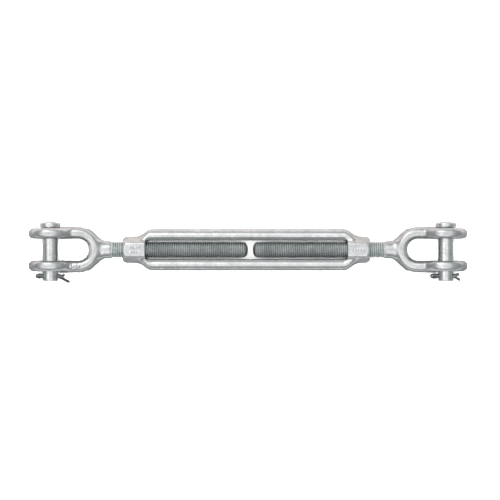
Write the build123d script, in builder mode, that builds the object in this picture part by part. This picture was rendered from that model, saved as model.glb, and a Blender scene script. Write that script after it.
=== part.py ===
from build123d import *
import os

# Jaw-and-jaw rigging turnbuckle, 3/4 inch thread, 9 inch take-up, lying flat.
# X runs along the thread axis, Y along the clevis pins (heads at +Y), Z is up.
# The origin is on the thread axis, at the middle of the left clevis pin.
# All lengths are in millimetres.

# Layout along the thread axis
PIN_TO_PIN = 458.8
BODY_X = 227.5
LEFT_ROD_LENGTH = 229.3
RIGHT_ROD_LENGTH = 223.7

# Threaded rods, plain at the thread's major diameter
ROD_R = 9.525
ROD_TIP_CHAMFER = 3.0
THREAD_START_X = 70.0
SHANK_R = 10.1
SHANK_START_X = 54.0
SHANK_CHAMFER = 0.5

# Jaw fork, its arms and crown
JAW_GAP = 25.0
ARM_START_X = 13.0
ARM_OUTER_Y = 26.3
ARM_HALF_WIDTH = 12.5
THROAT_CENTRE_X = 32.2
CROWN_POINTS = [(36.0, 26.3), (49.3, 22.2), (56.6, 16.0), (63.0, 10.0)]
CROWN_TAPER_X = 46.0
NECK_HALF_WIDTH = 9.8
FORK_EDGE_FILLET = 4.0

# Ears of the fork
EAR_R = 25.2
EAR_THICK = 12.4
EAR_RIM_FILLET = 5.0

# Clevis pin and the hole it turns in
PIN_R = 8.8
EAR_BORE_R = 9.15
PIN_HEAD_R = 11.9
PIN_HEAD_THICK = 7.2
PIN_HEAD_CLEARANCE = 0.3
PIN_HEAD_FILLET = 1.6
PIN_TIP_Y = -36.2
PIN_TIP_CHAMFER = 1.2

# Cotter pin, a half-round wire doubled back on itself
COTTER_Y = -30.6
COTTER_WIRE_R = 2.0
COTTER_HOLE_R = 2.25
COTTER_LEG_GAP = 0.2
COTTER_EYE_R = 1.6
COTTER_NECK_X = -10.2
COTTER_EYE_X = -14.2
COTTER_BEND_X = 10.4
COTTER_BEND_R = 1.0
LEFT_COTTER_TIPS = [(22.0, -3.0), (21.0, -8.5)]
RIGHT_COTTER_TIPS = [(17.5, 2.0), (17.5, -5.0)]

# Body: two hexagonal hubs joined by two reins
BODY_HALF_LENGTH = 143.3
HUB_LENGTH = 26.3
HUB_CORNER_R = 15.45
HUB_CONE_LENGTH = 3.0
HUB_CONE_R = 12.4
HUB_BORE_R = 10.0
REIN_OUTER_Y = 23.8
REIN_RIDGE_Y = 15.8
REIN_INNER_Y = 10.55
REIN_HALF_DEPTH = 9.0
REIN_INNER_HALF_DEPTH = 5.0
REIN_EDGE_FILLET = 1.5
SHOULDER_START = 125.5
SHOULDER_END = 115.0
SHOULDER_FILLET = 8.0
SLOT_END_FILLET = 4.0

# Ring of thread grease in each hub
GREASE_INNER_R = 9.62
GREASE_OUTER_R = 9.9
GREASE_SETBACK = 3.0

THREAD_AXIS = Axis.X
BODY_PLANE = Plane.YZ.offset(BODY_X)


def make_jaw(rod_length):
    """Forged fork, shank and threaded rod in one piece, its mouth towards -X."""
    half_gap = JAW_GAP / 2
    crown_end_x = CROWN_POINTS[-1][0]

    with BuildPart() as jaw:
        # The U of the fork, seen along Z
        with BuildSketch():
            with BuildLine():
                Polyline(
                    (THROAT_CENTRE_X, half_gap),
                    (ARM_START_X, half_gap),
                    (ARM_START_X, ARM_OUTER_Y),
                    CROWN_POINTS[0],
                )
                Spline(*CROWN_POINTS, tangents=[(1, 0), (0.8, -0.6)])
                Polyline(
                    CROWN_POINTS[-1],
                    (crown_end_x, 0),
                    (THROAT_CENTRE_X + half_gap, 0),
                )
                RadiusArc(
                    (THROAT_CENTRE_X + half_gap, 0),
                    (THROAT_CENTRE_X, half_gap),
                    -half_gap,
                )
            make_face()
            mirror(about=Plane.XZ)
        extrude(amount=ARM_HALF_WIDTH, both=True)

        # The crown narrows to the neck, seen along Y
        with BuildSketch(Plane.XZ):
            with BuildLine():
                Line((0, ARM_HALF_WIDTH), (CROWN_TAPER_X, ARM_HALF_WIDTH))
                TangentArc(
                    (CROWN_TAPER_X, ARM_HALF_WIDTH),
                    (crown_end_x, NECK_HALF_WIDTH),
                    tangent=(1, 0),
                )
                Polyline(
                    (crown_end_x, NECK_HALF_WIDTH),
                    (crown_end_x, 0),
                    (0, 0),
                    (0, ARM_HALF_WIDTH),
                )
            make_face()
            mirror(about=Plane.XZ)
        extrude(amount=2 * ARM_OUTER_Y, both=True, mode=Mode.INTERSECT)
        long_edges = jaw.edges().filter_by(
            lambda edge: abs(edge.center().Z) > NECK_HALF_WIDTH
            and abs((edge @ 1).X - (edge @ 0).X) > 0.1
        )
        fillet(long_edges, radius=FORK_EDGE_FILLET)

        # Round ears with rolled rims
        with BuildSketch():
            with Locations((0, half_gap)):
                ear_section = Rectangle(EAR_R, EAR_THICK, align=(Align.MIN, Align.MIN))
            fillet(ear_section.vertices().group_by(Axis.X)[-1], radius=EAR_RIM_FILLET)
            mirror(about=Plane.XZ)
        revolve(axis=Axis.Y)

        # Shank and threaded rod
        with BuildSketch():
            with BuildLine():
                Polyline(
                    (SHANK_START_X, 0),
                    (SHANK_START_X, SHANK_R - SHANK_CHAMFER),
                    (SHANK_START_X + SHANK_CHAMFER, SHANK_R),
                    (THREAD_START_X, SHANK_R),
                    (THREAD_START_X + SHANK_CHAMFER, ROD_R),
                    (rod_length - ROD_TIP_CHAMFER, ROD_R),
                    (rod_length, ROD_R - ROD_TIP_CHAMFER),
                    (rod_length, 0),
                    close=True,
                )
            make_face()
        revolve(axis=THREAD_AXIS)

        # Clevis pin hole through both ears
        with BuildSketch(Plane.XZ):
            Circle(EAR_BORE_R)
        extrude(amount=2 * ARM_OUTER_Y, both=True, mode=Mode.SUBTRACT)
    return jaw


def make_clevis_pin(pin_x):
    """Headed clevis pin across the jaw, cross-drilled below the lower ear."""
    head_low_y = JAW_GAP / 2 + EAR_THICK + PIN_HEAD_CLEARANCE
    head_top_y = head_low_y + PIN_HEAD_THICK
    pin_axis = Axis((pin_x, 0, 0), (0, 1, 0))

    with BuildPart() as pin:
        with BuildSketch(Plane(origin=(pin_x, 0, 0))):
            with BuildLine():
                Polyline(
                    (0, PIN_TIP_Y),
                    (PIN_R - PIN_TIP_CHAMFER, PIN_TIP_Y),
                    (PIN_R, PIN_TIP_Y + PIN_TIP_CHAMFER),
                    (PIN_R, head_low_y),
                    (PIN_HEAD_R, head_low_y),
                    (PIN_HEAD_R, head_top_y),
                    (0, head_top_y),
                    close=True,
                )
            make_face()
        revolve(axis=pin_axis)
        fillet(pin.edges().sort_by(Axis.Y)[-1], radius=PIN_HEAD_FILLET)
        with BuildSketch(Plane(origin=(pin_x, COTTER_Y, 0), z_dir=(1, 0, 0))):
            Circle(COTTER_HOLE_R)
        extrude(amount=2 * PIN_R, both=True, mode=Mode.SUBTRACT)
    return pin


def make_cotter(pin_x, tips):
    """Cotter through the pin tip along X, eye at -X, legs spread at +X."""
    half_gap = COTTER_LEG_GAP / 2
    with BuildPart() as cotter:
        with BuildLine(Plane(origin=(pin_x, COTTER_Y, 0))) as wire_path:
            FilletPolyline(
                tips[0],
                (COTTER_BEND_X, half_gap),
                (COTTER_NECK_X, half_gap),
                (COTTER_EYE_X, COTTER_EYE_R),
                (COTTER_EYE_X - COTTER_EYE_R, 0),
                (COTTER_EYE_X, -COTTER_EYE_R),
                (COTTER_NECK_X, -half_gap),
                (COTTER_BEND_X, -half_gap),
                tips[1],
                radius=COTTER_BEND_R,
            )
        path = wire_path.wires()[0]
        with BuildSketch(Plane(origin=path @ 0, x_dir=(0, 0, 1), z_dir=path % 0)):
            with BuildLine():
                CenterArc((0, 0), COTTER_WIRE_R, 0, 180)
                Line((COTTER_WIRE_R, 0), (-COTTER_WIRE_R, 0))
            make_face()
        sweep(path=path, transition=Transition.RIGHT)
    return cotter


def make_body():
    """Open forged body: a hexagonal tapped hub at each end, joined by two reins."""
    hub_inner = BODY_HALF_LENGTH - HUB_LENGTH
    cone_slope = (HUB_CORNER_R - HUB_CONE_R) / HUB_CONE_LENGTH
    cone_run = (2 * REIN_OUTER_Y - HUB_CONE_R) / cone_slope
    side_plane = Plane(origin=(BODY_X, 0, 0))

    with BuildPart() as body:
        # Two reins, D-shaped in section with a ridge facing up and down
        with BuildSketch(BODY_PLANE):
            with BuildLine():
                Polyline(
                    (REIN_RIDGE_Y, REIN_HALF_DEPTH),
                    (REIN_INNER_Y, REIN_INNER_HALF_DEPTH),
                    (REIN_INNER_Y, -REIN_INNER_HALF_DEPTH),
                    (REIN_RIDGE_Y, -REIN_HALF_DEPTH),
                )
                ThreePointArc(
                    (REIN_RIDGE_Y, -REIN_HALF_DEPTH),
                    (REIN_OUTER_Y, 0),
                    (REIN_RIDGE_Y, REIN_HALF_DEPTH),
                )
            rein_section = make_face()
            fillet(rein_section.vertices(), radius=REIN_EDGE_FILLET)
            mirror(about=Plane.YZ)
        extrude(amount=SHOULDER_START, both=True)

        # Hexagonal hubs, running a little way into the slot
        for side in (1, -1):
            hub_start = BODY_X + side * (hub_inner - SLOT_END_FILLET)
            with BuildSketch(
                Plane(origin=(hub_start, 0, 0), x_dir=(0, 1, 0), z_dir=(side, 0, 0))
            ):
                RegularPolygon(HUB_CORNER_R, 6)
            extrude(amount=HUB_LENGTH + SLOT_END_FILLET)

        # Slot between the reins, its ends rounded into the hubs
        with BuildSketch(side_plane):
            RectangleRounded(2 * hub_inner, 2 * REIN_INNER_Y, SLOT_END_FILLET)
        extrude(amount=HUB_CORNER_R, both=True, mode=Mode.SUBTRACT)

        # Rounded shoulders from hub to rein: the body is trimmed to its outline
        with BuildSketch(side_plane):
            with BuildLine():
                Polyline(
                    (0, 0),
                    (BODY_HALF_LENGTH, 0),
                    (BODY_HALF_LENGTH, HUB_CORNER_R),
                    (SHOULDER_START, HUB_CORNER_R),
                    (SHOULDER_END, REIN_OUTER_Y),
                    (0, REIN_OUTER_Y),
                    close=True,
                )
            outline = make_face()
            shoulder = outline.vertices().filter_by_position(
                Axis.X, SHOULDER_END - 1, SHOULDER_START + 1
            )
            fillet(shoulder, radius=SHOULDER_FILLET)
            mirror(about=Plane.YZ)
            mirror(about=Plane.XZ)
        extrude(amount=HUB_CORNER_R, both=True, mode=Mode.INTERSECT)

        # Coned outer ends on the hubs
        with BuildSketch(side_plane):
            with BuildLine():
                Polyline(
                    (0, 0),
                    (BODY_HALF_LENGTH, 0),
                    (BODY_HALF_LENGTH, HUB_CONE_R),
                    (BODY_HALF_LENGTH - cone_run, 2 * REIN_OUTER_Y),
                    (0, 2 * REIN_OUTER_Y),
                    close=True,
                )
            make_face()
            mirror(about=Plane.YZ)
        revolve(axis=THREAD_AXIS, mode=Mode.INTERSECT)

        # Tapped bores, left-handed at -X and right-handed at +X
        with BuildSketch(BODY_PLANE):
            Circle(HUB_BORE_R)
        extrude(amount=BODY_HALF_LENGTH, both=True, mode=Mode.SUBTRACT)
    return body


def make_grease(side):
    """Thin ring of thread grease between the rod and the hub's bore."""
    hub_mid = BODY_HALF_LENGTH - HUB_LENGTH / 2
    with BuildPart() as grease:
        with BuildSketch(BODY_PLANE.offset(side * hub_mid)):
            Circle(GREASE_OUTER_R)
            Circle(GREASE_INNER_R, mode=Mode.SUBTRACT)
        extrude(amount=HUB_LENGTH / 2 - GREASE_SETBACK, both=True)
    return grease


os.makedirs("parts", exist_ok=True)

shorter_jaw = make_jaw(RIGHT_ROD_LENGTH)
with BuildPart() as right_jaw:
    mirror(shorter_jaw.part, about=Plane.YZ.offset(PIN_TO_PIN / 2))

pieces = {
    "left_jaw": make_jaw(LEFT_ROD_LENGTH),
    "right_jaw": right_jaw,
    "turnbuckle_body": make_body(),
    "left_clevis_pin": make_clevis_pin(0),
    "right_clevis_pin": make_clevis_pin(PIN_TO_PIN),
    "left_cotter": make_cotter(0, LEFT_COTTER_TIPS),
    "right_cotter": make_cotter(PIN_TO_PIN, RIGHT_COTTER_TIPS),
    "left_thread_grease": make_grease(-1),
    "right_thread_grease": make_grease(1),
}
for name, piece in pieces.items():
    piece.part.label = name
    export_step(piece.part, f"parts/{name}.step")
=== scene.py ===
import math

import bmesh
import bpy
import numpy as np
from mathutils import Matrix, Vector


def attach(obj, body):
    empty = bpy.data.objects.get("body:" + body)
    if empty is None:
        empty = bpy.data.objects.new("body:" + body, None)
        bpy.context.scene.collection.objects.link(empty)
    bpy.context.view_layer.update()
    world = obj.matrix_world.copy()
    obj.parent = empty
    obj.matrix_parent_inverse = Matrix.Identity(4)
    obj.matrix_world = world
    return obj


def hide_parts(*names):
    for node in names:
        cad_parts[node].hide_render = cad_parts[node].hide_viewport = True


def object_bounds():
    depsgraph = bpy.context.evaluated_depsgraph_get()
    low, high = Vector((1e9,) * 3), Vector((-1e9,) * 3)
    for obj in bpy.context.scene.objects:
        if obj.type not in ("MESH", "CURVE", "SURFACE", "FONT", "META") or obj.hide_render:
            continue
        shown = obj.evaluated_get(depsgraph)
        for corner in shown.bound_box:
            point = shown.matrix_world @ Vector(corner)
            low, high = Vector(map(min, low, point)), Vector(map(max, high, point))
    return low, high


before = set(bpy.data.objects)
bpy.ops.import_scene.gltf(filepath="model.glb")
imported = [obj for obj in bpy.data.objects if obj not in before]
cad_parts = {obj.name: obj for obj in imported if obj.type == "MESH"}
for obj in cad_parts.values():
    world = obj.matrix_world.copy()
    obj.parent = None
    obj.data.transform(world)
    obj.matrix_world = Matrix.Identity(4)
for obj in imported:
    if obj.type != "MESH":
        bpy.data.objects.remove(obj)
cad_low, cad_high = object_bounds()

# A jaw-and-jaw turnbuckle lying flat, seen from straight above.
# X runs along the thread axis, Y along the clevis pins with their heads at +Y, and Z is up.
# Shape sizes are in millimetres, as in the CAD, and become metres in make_mesh.
# Lights, camera, floor and material patterns are in metres.

PIN_TO_PIN = 458.8
BODY_X = 227.5
LEFT_ROD_LENGTH = 229.3
RIGHT_ROD_LENGTH = 223.7

# Thread and rod, measured from the clevis pin's axis
PITCH = 2.54
THREAD_R = 9.525
THREAD_ROOT_R = 8.2
THREAD_CREST_R = 9.495
ROD_START_X = 69.4
RUN_OUT_R = 9.75
RUN_OUT_TURNS = 1.4
TIP_BULGE = 0.25
TIP_LENGTH = 6.0
TIP_FACE_R = 3.0
TIP_FULL_R = 9.7
ROD_SIDES = 72
ROD_RINGS_PER_PITCH = 12

# Body, measured from its own middle
BODY_HALF_LENGTH = 143.3
HUB_HALF_DEPTH = 13.38
HUB_CONE_R = 12.6
HUB_BORE_R = 9.75
SLOT_HALF_LENGTH = 117.0
SLOT_HALF_WIDTH = 10.55
SLOT_CORNER_R = 6.0
LEFT_SHOULDER_X = 113.2
RIGHT_SHOULDER_X = 117.0
SHOULDER_SLOPE = 0.86
REIN_END_X = 131
REIN_ARC_Y = 14.74
REIN_ARC_R = 9.06
REIN_RIDGE_Y = 15.8
REIN_RIDGE_Z = 9.0
RIDGE_TO_SLOT_Y = 5.25
RIDGE_TO_SLOT_Z = 4.0

# Jaw fork and neck, measured from the clevis pin's axis
JAW_HALF_GAP = 12.5
EAR_R = 25.1
EAR_Y = 18.7
EAR_HALF_THICK = 6.25
EAR_RIM_R = 5.6
EAR_BORE_R = 9.15
ARM_Y = 19.35
ARM_HALF_THICK = 6.85
ARM_HALF_WIDTH = 12.3
ARM_START_X = 12.0
ARM_SQUARENESS = 2.6
CROWN_X = 32.4
THROAT_X = 32.2
NECK_R = 10.1
NECK_START_X = 45.0
NECK_FLARE_X = 63.0
NECK_END_X = 70.0

# Clevis pin and cotter
PIN_R = 8.8
PIN_MIDDLE_Y = -4.0
PIN_HALF_LENGTH = 32.2
PIN_HEAD_R = 11.9
PIN_HEAD_Y = 28.8
PIN_HEAD_HALF_THICK = 3.6
PIN_HEAD_TOP_Y = 32.55
COTTER_Y = -30.6
COTTER_HOLE_R = 2.65
COTTER_WIRE_R = 2.4
COTTER_BEVEL = 0.3
COTTER_LEG_Y = 0.1
COTTER_ROLL = math.radians(28)

# Forging marks, plain raised bars: centre, half length and half width of each
MARK_HEIGHT = 0.6
HUB_BARS = [
    (-134.6, 2.6, 0.9, 2.0), (-131.6, 2.6, 0.9, 2.0), (-127.9, 2.6, 1.7, 1.0), (-124.4, 2.8, 0.9, 1.8),
    (-134.2, -3.0, 1.5, 1.0), (-130.4, -3.0, 0.9, 2.0), (-127.4, -3.0, 0.9, 2.0), (-124.2, -3.2, 1.1, 1.3),
    (122.6, -0.6, 0.8, 2.0), (125.6, -0.6, 1.4, 1.0), (129.0, -0.6, 0.8, 2.0),
    (132.0, -0.6, 0.8, 2.0), (135.2, -0.6, 1.2, 1.2),
]
ARM_BARS = [
    (24.6, -19.6, 0.8, 2.1), (27.6, -19.6, 1.3, 1.0), (30.8, -19.6, 0.8, 2.1), (33.6, -19.7, 0.9, 1.6),
]


# ---------------------------------------------------------------- field tools

def smooth_min(a, b, k):
    h = np.clip(0.5 + 0.5 * (b - a) / k, 0, 1)
    return b * (1 - h) + a * h - k * h * (1 - h)


def smooth_max(a, b, k):
    return -smooth_min(-a, -b, k)


def smooth_step(t):
    t = np.clip(t, 0, 1)
    return t * t * (3 - 2 * t)


def rounded_box(u, v, half_u, half_v, r):
    """Distance to a rectangle with rounded corners, in its own plane."""
    du = np.abs(u) - (half_u - r)
    dv = np.abs(v) - (half_v - r)
    outside = np.hypot(np.maximum(du, 0), np.maximum(dv, 0))
    return outside + np.minimum(np.maximum(du, dv), 0) - r


def unevenness(x, y, z, size):
    """Slow waves, as a hammered and dipped surface has."""
    a = np.sin(x * 0.31 + 1.1 + 0.8 * np.sin(z * 0.21)) * np.sin(y * 0.37 + 0.4)
    b = np.sin(x * 0.13 - y * 0.22 + z * 0.27 + 2.0)
    c = np.sin(z * 0.43 + x * 0.07) * np.sin(x * 0.19 + y * 0.29)
    return size * (0.4 * a + 0.35 * b + 0.25 * c)


def flash_line(z, height):
    """The thin raised line that the two halves of the forging die leave at z = 0."""
    return height * np.exp(-((z / 0.6) ** 2))


def raised_bars(u, v, bars):
    """Height of the raised bars over the plane (u, v)."""
    raised = np.zeros_like(u)
    for cu, cv, half_u, half_v in bars:
        d = rounded_box(u - cu, v - cv, half_u, half_v, min(half_u, half_v) * 0.9)
        raised = np.maximum(raised, MARK_HEIGHT * smooth_step(0.5 - d / 0.8))
    return raised


# --------------------------------------------------------------- meshing tools

def edge_ends(axis):
    """Slices for the first and second ends of every grid edge along an axis."""
    first = [slice(None)] * 3
    second = [slice(None)] * 3
    first[axis] = slice(0, -1)
    second[axis] = slice(1, None)
    return tuple(first), tuple(second)


def cell_vertices(value):
    """One vertex for each grid cell that the surface crosses, in cells, and each cell's number."""
    inside = value < 0
    cells = tuple(n - 1 for n in value.shape)
    total = np.zeros(cells + (3,))
    count = np.zeros(cells)
    for axis in range(3):
        first, second = edge_ends(axis)
        crossed = inside[first] != inside[second]
        with np.errstate(divide="ignore", invalid="ignore"):
            t = np.where(crossed, value[first] / (value[first] - value[second]), 0)
        u, v = [k for k in range(3) if k != axis]
        for i in (0, 1):
            for j in (0, 1):
                window = [slice(None)] * 3
                window[u] = slice(i, i + cells[u])
                window[v] = slice(j, j + cells[v])
                window = tuple(window)
                count += crossed[window]
                total[..., axis] += t[window]
                total[..., u] += np.where(crossed[window], i, 0)
                total[..., v] += np.where(crossed[window], j, 0)
    used = count > 0
    number = np.full(cells, -1)
    number[used] = np.arange(used.sum())
    return np.argwhere(used) + total[used] / count[used][:, None], number


def axis_quads(inside, number, axis):
    """A quad round each crossed grid edge along an axis, facing outwards."""
    first, second = edge_ends(axis)
    cells = number.shape
    u = (axis + 1) % 3
    v = (axis + 2) % 3
    where = np.argwhere(inside[first] != inside[second])
    where = where[(where[:, u] > 0) & (where[:, v] > 0)]
    where = where[(where[:, u] < cells[u]) & (where[:, v] < cells[v])]
    ring = []
    for du, dv in ((1, 1), (0, 1), (0, 0), (1, 0)):
        at = where.copy()
        at[:, u] -= du
        at[:, v] -= dv
        ring.append(number[at[:, 0], at[:, 1], at[:, 2]])
    quads = np.stack(ring, axis=1)
    flip = ~inside[first][where[:, 0], where[:, 1], where[:, 2]]
    quads[flip] = quads[flip][:, ::-1]
    return quads


def pulled_on(field, points, step):
    """The points after one Newton step towards the field's zero surface."""
    h = step * 0.05
    x, y, z = points.T
    slope_x = field(x + h, y, z) - field(x - h, y, z)
    slope_y = field(x, y + h, z) - field(x, y - h, z)
    slope_z = field(x, y, z + h) - field(x, y, z - h)
    slope = np.stack([slope_x, slope_y, slope_z], axis=1) / (2 * h)
    steepness = np.maximum((slope**2).sum(axis=1), 0.05)
    move = slope * (field(x, y, z) / steepness)[:, None]
    return points - np.clip(move, -0.4 * step, 0.4 * step)


def surface_of(field, low, high, step):
    """Points and quads of the field's zero surface inside a box."""
    axes = [np.arange(lo, hi + step, step) for lo, hi in zip(low, high)]
    value = field(*np.meshgrid(*axes, indexing="ij"))
    points, number = cell_vertices(value)
    points = points * step + np.array(low)
    quads = np.concatenate([axis_quads(value < 0, number, axis) for axis in range(3)])
    for _ in range(3):
        points = pulled_on(field, points, step)
    return points, quads.tolist()


def make_mesh(name, points, faces, materials, numbers=None):
    """An object with smooth shading from points in millimetres; numbers says each face's material."""
    mesh = bpy.data.meshes.new(name)
    mesh.from_pydata((np.asarray(points) / 1000).tolist(), [], faces)
    if numbers:
        mesh.polygons.foreach_set("material_index", numbers)
    mesh.validate()
    mesh.shade_smooth()
    for material in materials:
        mesh.materials.append(material)
    obj = bpy.data.objects.new(name, mesh)
    bpy.context.scene.collection.objects.link(obj)
    return obj


# ---------------------------------------------------------------- the forgings

def body_field(x, y, z):
    """Hexagonal hubs and D-section reins, centred on the body."""
    ax, ay, az = np.abs(x), np.abs(y), np.abs(z)
    flash = flash_line(z, 0.22)
    shoulder = np.where(x < 0, LEFT_SHOULDER_X, RIGHT_SHOULDER_X)
    v = ay + smooth_max(0, (ax - shoulder) * SHOULDER_SLOPE, 3.5)
    outer = np.hypot(v - REIN_ARC_Y, az) - REIN_ARC_R - flash
    down = (REIN_RIDGE_Y - v) * RIDGE_TO_SLOT_Z + (az - REIN_RIDGE_Z) * RIDGE_TO_SLOT_Y
    rein = smooth_max(outer, down / math.hypot(RIDGE_TO_SLOT_Y, RIDGE_TO_SLOT_Z), 1.6)
    rein = smooth_max(rein, SLOT_HALF_WIDTH - v, 1.6)
    rein = smooth_max(rein, ax - REIN_END_X, 2)

    flank = ay * 0.8660 + az * 0.5 - HUB_HALF_DEPTH - 0.7 * flash
    cone = (np.hypot(y, z) - HUB_CONE_R + ax - BODY_HALF_LENGTH) * 0.7071
    hub = smooth_max(az - HUB_HALF_DEPTH, flank, 1.8)
    hub = smooth_max(hub, cone, 2.2)
    hub = smooth_max(hub, ax - BODY_HALF_LENGTH, 1.0)
    hub = smooth_max(hub, SLOT_HALF_LENGTH - ax, 1.4)

    d = smooth_min(rein, hub, 4.5)
    d = d + unevenness(x * 0.5, y * 0.6, z * 0.6, 0.03)
    d = d - np.where(z > 5, raised_bars(x, y, HUB_BARS), 0)
    slot = rounded_box(x, y, SLOT_HALF_LENGTH, SLOT_HALF_WIDTH, SLOT_CORNER_R)
    d = smooth_max(d, -slot, 1.2)
    return smooth_max(d, HUB_BORE_R - np.hypot(y, z), 0.5)


def fork_field(x, y, z, marks):
    """Fork and neck of a jaw end, with the clevis pin's axis at x = 0 and the mouth towards -X."""
    ay, az = np.abs(y), np.abs(z)
    from_pin = np.hypot(x, z)
    ear = rounded_box(from_pin, ay - EAR_Y, EAR_R, EAR_HALF_THICK, EAR_RIM_R)

    # the two arms and the crown are one bar of squarish section, bent into a U
    around = np.hypot(np.maximum(x - CROWN_X, 0), y)
    across = np.where(x < CROWN_X, ay, around) - ARM_Y
    half_width = ARM_HALF_WIDTH - 0.4 * smooth_step((x - 26) / 18)
    section = (np.abs(across) / ARM_HALF_THICK) ** ARM_SQUARENESS + (az / half_width) ** ARM_SQUARENESS
    bar = (section ** (1 / ARM_SQUARENESS) - 1) * ARM_HALF_THICK
    bar = smooth_max(bar, ARM_START_X - x, 2.5)

    # the neck widens sideways, but not upwards, into the crown
    flare = np.clip((NECK_FLARE_X - x) / 19.0, 0, 1.6)
    neck_r = NECK_R + 14.8 * flare**1.2
    neck = (np.hypot(y, z * neck_r / (NECK_R - 0.4 * flare)) - neck_r) * 0.7
    neck = smooth_max(neck, NECK_START_X - x, 2)
    neck = smooth_max(neck, x - NECK_END_X, 0.6)

    d = smooth_min(ear, bar, 4.0)
    d = smooth_min(d, neck, 3.0)
    rough_part = smooth_step((x - 14) / 12) * smooth_step((64 - x) / 8)
    d = d + unevenness(x * 0.6 + 40, y * 0.7, z * 0.7, 0.06) * rough_part
    d = d - flash_line(z, 0.2) * smooth_step((x - 20) / 6) * smooth_step((62 - x) / 6)
    if marks:
        d = d - np.where(z > 5, raised_bars(x, y, ARM_BARS), 0)
    throat = np.where(x < THROAT_X, ay, around) - JAW_HALF_GAP
    d = smooth_max(d, -throat, 1.0)
    return smooth_max(d, EAR_BORE_R - from_pin, 0.8)


def thread_profile(turns):
    """Thread height over one pitch, 1 on the crest and 0 in the root, with both rounded."""
    u = np.abs(2 * (turns % 1.0) - 1)
    s = np.clip((0.80 - u) / 0.64, 0, 1)
    return 0.65 * s + 0.35 * smooth_step(s)


def threaded_rod(end_x):
    """A real left-handed helical thread from the neck to the rod's rounded tip, as points and faces."""
    steps = int(round((end_x - ROD_START_X) / PITCH * ROD_RINGS_PER_PITCH))
    x = np.linspace(ROD_START_X, end_x, steps + 1)
    x, turn = np.meshgrid(x, np.linspace(0, 2 * math.pi, ROD_SIDES, endpoint=False), indexing="ij")
    height = thread_profile(x / PITCH + turn / (2 * math.pi))
    r = THREAD_ROOT_R + (THREAD_CREST_R - THREAD_ROOT_R) * height
    run_out = smooth_step((x - ROD_START_X) / (RUN_OUT_TURNS * PITCH))
    r = RUN_OUT_R * (1 - run_out) + r * run_out
    along_tip = np.clip((end_x - x) / TIP_LENGTH, 0, 1)
    tip_r = TIP_FACE_R + (TIP_FULL_R - TIP_FACE_R) * (1 - (1 - along_tip) ** 2) ** 0.7
    r = np.minimum(r, tip_r)
    rings = np.stack([x, r * np.cos(turn), r * np.sin(turn)], axis=-1).reshape(-1, 3)
    points = np.vstack([rings, [[end_x + TIP_BULGE, 0, 0]]])
    faces = []
    for i in range(steps):
        near = i * ROD_SIDES
        far = near + ROD_SIDES
        for j in range(ROD_SIDES):
            k = (j + 1) % ROD_SIDES
            faces.append([near + j, far + j, far + k, near + k])
    last = steps * ROD_SIDES
    for j in range(ROD_SIDES):
        faces.append([last + j, len(rings), last + (j + 1) % ROD_SIDES])
    return points, faces


def mirrored(points, faces):
    """The same shape at the other end of the turnbuckle, with its thread right-handed."""
    points = points.copy()
    points[:, 0] = PIN_TO_PIN - points[:, 0]
    return points, [face[::-1] for face in faces]


def jaw_end(name, at_right):
    """One jaw end in one piece: forged fork and neck, and its threaded rod."""
    rod_length = RIGHT_ROD_LENGTH if at_right else LEFT_ROD_LENGTH

    def field(x, y, z):
        return fork_field(x, y, z, not at_right)

    fork_points, fork_faces = surface_of(field, (-26.5, -28, -26.5), (71.5, 28, 26.5), 0.62)
    rod_points, rod_faces = threaded_rod(rod_length - TIP_BULGE)
    points = np.vstack([fork_points, rod_points])
    faces = fork_faces + [[i + len(fork_points) for i in face] for face in rod_faces]
    numbers = [0] * len(fork_faces) + [1] * len(rod_faces)
    if at_right:
        points, faces = mirrored(points, faces)
    return make_mesh(name, points, faces, [forged, threads], numbers)


# --------------------------------------------------------- clevis pin and cotter

def pin_field(x, y, z):
    """Clevis pin along Y, with a slightly domed head at +Y and a cross hole near the tip."""
    q = np.hypot(x, z)
    shank = rounded_box(q, y - PIN_MIDDLE_Y, PIN_R, PIN_HALF_LENGTH, 1.1)
    head = rounded_box(q, y - PIN_HEAD_Y, PIN_HEAD_R, PIN_HEAD_HALF_THICK, 2.6)
    head = smooth_max(head, y - PIN_HEAD_TOP_Y + 0.012 * q**2, 0.8)
    d = smooth_min(shank, head, 0.5)
    return smooth_max(d, COTTER_HOLE_R - np.hypot(y - COTTER_Y, z), 0.5)


def clevis_pin(name, pin_x):
    points, quads = surface_of(pin_field, (-12.5, -37.5, -12.5), (12.5, 34, 12.5), 0.48)
    points[:, 0] += pin_x
    return make_mesh(name, points, quads, [pin_steel])


def smooth_path(knots, per_span=10):
    """A Catmull-Rom line through the knots."""
    knots = np.array([knots[0]] + knots + [knots[-1]], dtype=float)
    path = []
    for p0, p1, p2, p3 in zip(knots, knots[1:], knots[2:], knots[3:]):
        for t in np.linspace(0, 1, per_span, endpoint=False):
            bend = (2 * p0 - 5 * p1 + 4 * p2 - p3) * t**2 + (3 * p1 - p0 - 3 * p2 + p3) * t**3
            path.append(0.5 * (2 * p1 + (p2 - p0) * t + bend))
    path.append(knots[-2])
    return np.array(path)


def cotter_knots(lower_leg, eye, eye_tip_x, upper_leg):
    """The wire's line: in along the lower leg, round the eye, and out along the upper leg."""
    through = [(8.8, COTTER_LEG_Y), (0, COTTER_LEG_Y), (-8.6, COTTER_LEG_Y)]
    out_to_eye = [(x, -y, 0) for x, y in through + eye]
    back_from_eye = [(x, y, 0) for x, y in reversed(through + eye)]
    return lower_leg + out_to_eye + [(eye_tip_x, 0, 0)] + back_from_eye + upper_leg


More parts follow.
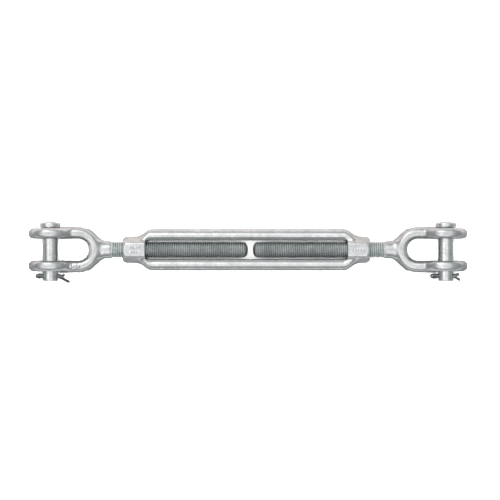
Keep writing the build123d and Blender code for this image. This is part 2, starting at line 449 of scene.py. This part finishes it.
LEFT_COTTER = cotter_knots(
    lower_leg=[(22.6, -7.0, 0.6), (19.5, -5.4, 0.5), (15.4, -2.9, 0.2), (11.8, -0.8, 0)],
    eye=[(-10.2, 0.4), (-12.2, 0.8), (-13.9, 0.6)],
    eye_tip_x=-15.0,
    upper_leg=[(11.8, -0.4, 0), (14.0, -0.8, 0), (15.7, -0.2, 0), (17.0, 1.1, 0)],
)
RIGHT_COTTER = cotter_knots(
    lower_leg=[(17.0, -4.3, 0.4), (14.4, -2.6, 0.3), (11.6, -0.9, 0)],
    eye=[(-10.4, 0.5), (-12.8, 0.9), (-14.6, 0.7)],
    eye_tip_x=-15.9,
    upper_leg=[(11.4, 0.4, 0), (13.6, 0.9, -0.2), (15.8, 1.4, -0.4)],
)


def half_round():
    """Section of the cotter's wire: a half circle with its two sharp corners bevelled."""
    arc = np.linspace(0.10, math.pi - 0.10, 11)[1:-1]
    section = [(COTTER_WIRE_R - COTTER_BEVEL, 0.0), (COTTER_WIRE_R, COTTER_BEVEL)]
    section += [(COTTER_WIRE_R * math.cos(a), COTTER_WIRE_R * math.sin(a)) for a in arc]
    section += [(-COTTER_WIRE_R, COTTER_BEVEL), (-COTTER_WIRE_R + COTTER_BEVEL, 0.0)]
    return np.array(section)


def rolled(points):
    """The points turned about X, as the cotter lies a little rolled over in its hole."""
    x, y, z = points.T
    turned_y = y * math.cos(COTTER_ROLL) - z * math.sin(COTTER_ROLL)
    turned_z = y * math.sin(COTTER_ROLL) + z * math.cos(COTTER_ROLL)
    return np.stack([x, turned_y, turned_z], axis=1)


def cotter(name, pin_x, knots):
    """Half-round wire bent round an eye, flat sides together, swept along the knots."""
    path = smooth_path(knots)
    section = half_round()
    tangent = np.gradient(path, axis=0)
    tangent /= np.linalg.norm(tangent, axis=1)[:, None]
    out = np.cross(np.array([0.0, 0.0, 1.0]), tangent)
    out /= np.linalg.norm(out, axis=1)[:, None]
    side = np.cross(out, tangent)
    rings = [p + section[:, :1] * s + section[:, 1:] * n for p, n, s in zip(path, out, side)]
    # the cut ends are drawn in a little
    for end in (0, -1):
        middle = rings[end].mean(axis=0)
        rings[end] = middle + (rings[end] - middle) * 0.86
    sides = len(section)
    faces = []
    for i in range(len(rings) - 1):
        near = i * sides
        far = near + sides
        for j in range(sides):
            k = (j + 1) % sides
            faces.append([near + j, near + k, far + k, far + j])
    last = (len(rings) - 1) * sides
    faces.append(list(range(sides))[::-1])
    faces.append([last + j for j in range(sides)])
    points = rolled(np.concatenate(rings)) + np.array([pin_x, COTTER_Y, 0])
    obj = make_mesh(name, points, faces, [wire])
    outward = bmesh.new()
    outward.from_mesh(obj.data)
    bmesh.ops.recalc_face_normals(outward, faces=outward.faces)
    outward.to_mesh(obj.data)
    outward.free()
    return obj


# ---------------------------------------------------------------- shader tools

def node_material(name):
    mat = bpy.data.materials.new(name)
    mat.use_nodes = True
    tree = mat.node_tree
    return mat, tree, tree.nodes["Principled BSDF"]


def add(tree, kind, inputs=None, **settings):
    """A shader node, with its settings made first and then its inputs linked or set."""
    node = tree.nodes.new(kind)
    for key, value in settings.items():
        setattr(node, key, value)
    for key, value in (inputs or {}).items():
        if isinstance(value, bpy.types.NodeSocket):
            tree.links.new(value, node.inputs[key])
        else:
            node.inputs[key].default_value = value
    return node


def math_of(tree, operation, *values):
    return add(tree, "ShaderNodeMath", dict(enumerate(values)), operation=operation).outputs[0]


def spread(tree, value, start, end, low=0.0, high=1.0, kind="LINEAR"):
    """The value's place from start to end, as a number from low to high, held at both ends."""
    inputs = {"Value": value, "From Min": start, "From Max": end, "To Min": low, "To Max": high}
    return add(tree, "ShaderNodeMapRange", inputs, interpolation_type=kind).outputs[0]


def blended(tree, factor, a, b, kind="MIX"):
    inputs = {"Factor": factor, "A": a, "B": b}
    return add(tree, "ShaderNodeMix", inputs, data_type="RGBA", blend_type=kind).outputs["Result"]


def scaled(tree, colour, scale):
    return add(tree, "ShaderNodeVectorMath", {0: colour, "Scale": scale}, operation="SCALE").outputs["Vector"]


def noise(tree, coords, scale, detail, roughness=0.5):
    inputs = {"Vector": coords, "Scale": scale, "Detail": detail, "Roughness": roughness}
    return add(tree, "ShaderNodeTexNoise", inputs).outputs["Fac"]


def bumped(tree, height, strength, distance):
    inputs = {"Height": height, "Strength": strength, "Distance": distance}
    return add(tree, "ShaderNodeBump", inputs).outputs["Normal"]


def parts_of(tree, vector):
    return add(tree, "ShaderNodeSeparateXYZ", {"Vector": vector}).outputs


def ramp(tree, fac, stops):
    """A colour ramp, with each stop a place and a grey or a colour."""
    node = add(tree, "ShaderNodeValToRGB", {"Fac": fac})
    elements = node.color_ramp.elements
    while len(elements) < len(stops):
        elements.new(0.5)
    for element, (at, colour) in zip(elements, stops):
        element.position = at
        element.color = (colour, colour, colour, 1) if isinstance(colour, float) else (*colour, 1)
    return node.outputs["Color"]


# --------------------------------------------------------------- the materials

def from_body_middle(tree, along):
    """Distance along X from the body's middle."""
    return math_of(tree, "ABSOLUTE", math_of(tree, "ADD", along, -BODY_X / 1000))


def thread_painted_shade(tree, coords, colour):
    """Painted shade: thread roots painted darker, and the rods painted darker inside the body, where the
    reins and hubs shade them, and a little lighter outside it.
    """
    place = parts_of(tree, coords)
    flat = add(tree, "ShaderNodeCombineXYZ", {"Y": place["Y"], "Z": place["Z"]}).outputs[0]
    radius = add(tree, "ShaderNodeVectorMath", {0: flat}, operation="LENGTH").outputs["Value"]
    depth = spread(tree, radius, THREAD_ROOT_R / 1000, THREAD_R / 1000)
    # painted shade: the thread roots are darkened by their distance from the axis
    root_shade = ramp(tree, depth, [(0.0, 0.55), (0.5, 0.80), (1.0, 1.0)])
    colour = blended(tree, 1.0, colour, root_shade, "MULTIPLY")
    # painted shade: darker inside the body, where the reins and hubs shade the rods, and a little lighter
    # outside it
    inside_shade = spread(tree, from_body_middle(tree, place["X"]), 0.110, 0.140, 0.80, 1.10)
    return scaled(tree, colour, inside_shade)


def slot_painted_shade(tree, coords, colour):
    """Painted shade: the faces inside the body's slot are darkened, as the shade between the reins would make
    them.
    """
    place = parts_of(tree, coords)
    beside_rod = spread(tree, math_of(tree, "ABSOLUTE", place["Y"]), 0.0114, 0.0106)
    in_slot = spread(tree, from_body_middle(tree, place["X"]), 0.1175, 0.1165)
    painted_slot_shade = math_of(tree, "MULTIPLY", beside_rod, in_slot)
    # painted shade multiplied into the slot's inner faces
    return blended(tree, painted_slot_shade, colour, (0.26, 0.29, 0.29, 1), "MULTIPLY")


def galvanised(name, light, dark, rough=(0.24, 0.38), grain=1.0, bump=1.0, painted_shade_by_place=None):
    """Zinc-dipped steel: soft mottling, a faint spangle and fine pitting, and painted shade by place."""
    mat, tree, shader = node_material(name)
    coords = add(tree, "ShaderNodeTexCoord").outputs["Object"]
    clouds = noise(tree, coords, 55.0 * grain, 5.0, 0.6)
    fine = noise(tree, coords, 900.0 * grain, 4.0, 0.65)
    cells = {"Vector": coords, "Scale": 260.0 * grain, "Randomness": 1.0}
    crystals = add(tree, "ShaderNodeTexVoronoi", cells).outputs["Color"]
    spangle = add(tree, "ShaderNodeSeparateColor", {"Color": crystals}).outputs["Red"]
    mottle = math_of(tree, "MULTIPLY", clouds, 0.62)
    mottle = math_of(tree, "MULTIPLY_ADD", spangle, 0.16, mottle)
    mottle = math_of(tree, "MULTIPLY_ADD", fine, 0.24, mottle)
    colour = ramp(tree, mottle, [(0.34, dark), (0.62, light)])
    # painted shade by place is multiplied into the colour here
    if painted_shade_by_place:
        colour = painted_shade_by_place(tree, coords, colour)
    tree.links.new(colour, shader.inputs["Base Color"])
    roughness = spread(tree, mottle, 0.3, 0.7, rough[1], rough[0])
    tree.links.new(roughness, shader.inputs["Roughness"])
    shader.inputs["Metallic"].default_value = 1.0
    height = math_of(tree, "MULTIPLY", clouds, 0.4)
    height = math_of(tree, "MULTIPLY_ADD", fine, 0.22, height)
    tree.links.new(bumped(tree, height, 0.35 * bump, 0.0004), shader.inputs["Normal"])
    return mat


def grease_material():
    mat, tree, shader = node_material("thread_grease")
    coords = add(tree, "ShaderNodeTexCoord").outputs["Object"]
    smear = noise(tree, coords, 400.0, 3.0)
    colour = ramp(tree, smear, [(0.3, (0.20, 0.13, 0.05)), (0.7, (0.38, 0.28, 0.12))])
    tree.links.new(colour, shader.inputs["Base Color"])
    shader.inputs["Roughness"].default_value = 0.2
    tree.links.new(bumped(tree, smear, 0.4, 0.0003), shader.inputs["Normal"])
    return mat


forged = galvanised("galvanised_forging", (0.73, 0.735, 0.74), (0.51, 0.525, 0.53), bump=0.7)
forged_body = galvanised(
    "galvanised_body", (0.78, 0.785, 0.79), (0.56, 0.575, 0.58), bump=0.7, painted_shade_by_place=slot_painted_shade
)
threads = galvanised(
    "galvanised_thread", (0.84, 0.885, 0.885), (0.60, 0.645, 0.645), rough=(0.36, 0.50), painted_shade_by_place=thread_painted_shade
)
pin_steel = galvanised(
    "galvanised_pin", (0.86, 0.865, 0.87), (0.64, 0.65, 0.655), rough=(0.16, 0.28), grain=1.3, bump=0.3
)
wire = galvanised(
    "zinc_wire", (0.33, 0.355, 0.355), (0.16, 0.18, 0.18), rough=(0.30, 0.48), grain=2.0, bump=0.6
)
grease = grease_material()


# ------------------------------------------------------------------ the object

body_points, body_quads = surface_of(body_field, (-145, -25.5, -15), (145, 25.5, 15), 0.66)
body_points[:, 0] += BODY_X
body = make_mesh("body_forging", body_points, body_quads, [forged_body])
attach(body, "turnbuckle_body")
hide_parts("turnbuckle_body")

for side, at_right in (("left", False), ("right", True)):
    jaw = jaw_end(f"{side}_jaw_end", at_right)
    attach(jaw, f"{side}_jaw")
    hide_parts(f"{side}_jaw")

for side, pin_x, knots in (("left", 0, LEFT_COTTER), ("right", PIN_TO_PIN, RIGHT_COTTER)):
    pin = clevis_pin(f"{side}_headed_pin", pin_x)
    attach(pin, f"{side}_pin")
    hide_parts(f"{side}_clevis_pin")
    split = cotter(f"{side}_split_pin", pin_x, knots)
    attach(split, f"{side}_pin")
    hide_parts(f"{side}_cotter")

for node in ("left_thread_grease", "right_thread_grease"):
    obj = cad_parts[node]
    obj.data.materials.clear()
    obj.data.materials.append(grease)


# ------------------------------------------------------------------- the floor

FLOOR_HALF = 6
floor_z = cad_low[2] - 0.0002
corners = [(x * FLOOR_HALF, y * FLOOR_HALF, floor_z) for x, y in ((-1, -1), (1, -1), (1, 1), (-1, 1))]
mesh = bpy.data.meshes.new("floor")
mesh.from_pydata(corners, [], [(0, 1, 2, 3)])
floor = bpy.data.objects.new("floor", mesh)
bpy.context.scene.collection.objects.link(floor)

# The camera sees pale paper. What the steel reflects of it has a painted shadow, darkest close to the object
# on its -Y side, and is painted lighter and warmer towards +Y, as if lit from that side.
paper, tree, shader = node_material("floor_paper")
seen = add(tree, "ShaderNodeLightPath").outputs["Is Camera Ray"]
place = parts_of(tree, add(tree, "ShaderNodeTexCoord").outputs["Object"])
# painted shadow under the object and painted warm light towards +Y, seen only in reflections
reflected_floor_shade = ramp(tree, spread(tree, place["Y"], -0.3, 0.3), [
    (0.0, (0.260, 0.262, 0.262)),
    (0.26, (0.138, 0.141, 0.141)),
    (0.42, (0.060, 0.064, 0.064)),
    (0.54, (0.118, 0.113, 0.110)),
    (0.66, (0.225, 0.209, 0.202)),
    (1.0, (0.270, 0.256, 0.250)),
])
tones = blended(tree, seen, reflected_floor_shade, (0.62, 0.62, 0.62, 1))
tree.links.new(tones, shader.inputs["Base Color"])
shader.inputs["Roughness"].default_value = 1.0
shader.inputs["Specular IOR Level"].default_value = 0.0
floor.data.materials.append(paper)


# ------------------------------------------------------------------- the light

def area_light(name, where, target, size, power, colour=(1, 1, 1)):
    data = bpy.data.lights.new(name, "AREA")
    data.shape = "RECTANGLE"
    data.size, data.size_y = size
    data.energy = power
    data.color = colour
    lamp = bpy.data.objects.new(name, data)
    bpy.context.scene.collection.objects.link(lamp)
    lamp.location = where
    lamp.rotation_mode = "QUATERNION"
    lamp.rotation_quaternion = (Vector(target) - Vector(where)).to_track_quat("-Z", "Y")
    return lamp


middle = (BODY_X / 1000, 0, 0)
area_light("key_far_side", (-0.4, 1.3, 1.1), middle, (0.9, 0.9), 5, (1.0, 0.97, 0.945))

# This lamp lights only the floor, so that the openings in the object are as white as what is round it.
floor_lamp = area_light("floor_lamp", (BODY_X / 1000, 0, 4.7), middle, (4.0, 4.0), 1080)
lit_floor = bpy.data.collections.new("lit_floor")
lit_floor.objects.link(floor)
floor_lamp.light_linking.receiver_collection = lit_floor

# The steel reflects one large soft window overhead in a dim cool room, and the camera sees white.
world = bpy.data.worlds.new("studio")
bpy.context.scene.world = world
world.use_nodes = True
tree = world.node_tree
toward = parts_of(tree, add(tree, "ShaderNodeTexCoord").outputs["Generated"])
up = math_of(tree, "MAXIMUM", toward["Z"], 0.02)
along = math_of(tree, "DIVIDE", toward["X"], up)
across = math_of(tree, "ABSOLUTE", math_of(tree, "DIVIDE", toward["Y"], up))
left_edge = spread(tree, along, -1.6, -0.5, kind="SMOOTHSTEP")
right_edge = spread(tree, along, 0.85, 0.15, kind="SMOOTHSTEP")
far_edges = spread(tree, across, 2.0, 0.8, kind="SMOOTHSTEP")
window = math_of(tree, "MULTIPLY", math_of(tree, "MULTIPLY", left_edge, right_edge), far_edges)
room = ramp(tree, toward["Z"], [
    (0.00, (0.16, 0.19, 0.19)),
    (0.15, (0.25, 0.285, 0.285)),
    (0.5, (0.41, 0.445, 0.445)),
    (1.0, (0.48, 0.50, 0.50)),
])
room = scaled(tree, room, spread(tree, toward["Y"], -1.0, 1.0, 0.7, 1.3))
straight_up = spread(tree, toward["Z"], 0.90, 1.0, kind="SMOOTHSTEP")
pane = ramp(tree, straight_up, [(0.0, (1.32, 1.31, 1.30)), (1.0, (0.92, 0.93, 0.94))])
lit = blended(tree, window, room, pane)
seen = add(tree, "ShaderNodeLightPath").outputs["Is Camera Ray"]
shown = blended(tree, seen, lit, (1, 1, 1, 1))
background = tree.nodes["Background"]
tree.links.new(shown, background.inputs["Color"])
background.inputs["Strength"].default_value = 1.0


# ------------------------------------------------------------------ the camera

CAMERA_X = 0.2317
CAMERA_Y = -0.0003
CAMERA_HEIGHT = 4.2
FRAME_WIDTH = 0.580
SENSOR_WIDTH = 36
camera_data = bpy.data.cameras.new("camera")
camera_data.type = "PERSP"
camera_data.sensor_width = SENSOR_WIDTH
camera_data.lens = SENSOR_WIDTH * CAMERA_HEIGHT / FRAME_WIDTH
camera_data.clip_end = 50
camera = bpy.data.objects.new("camera", camera_data)
camera.location = (CAMERA_X, CAMERA_Y, CAMERA_HEIGHT)
camera.rotation_euler = (0, 0, 0)
bpy.context.scene.collection.objects.link(camera)
bpy.context.scene.camera = camera
bpy.context.scene.view_settings.view_transform = "Standard"
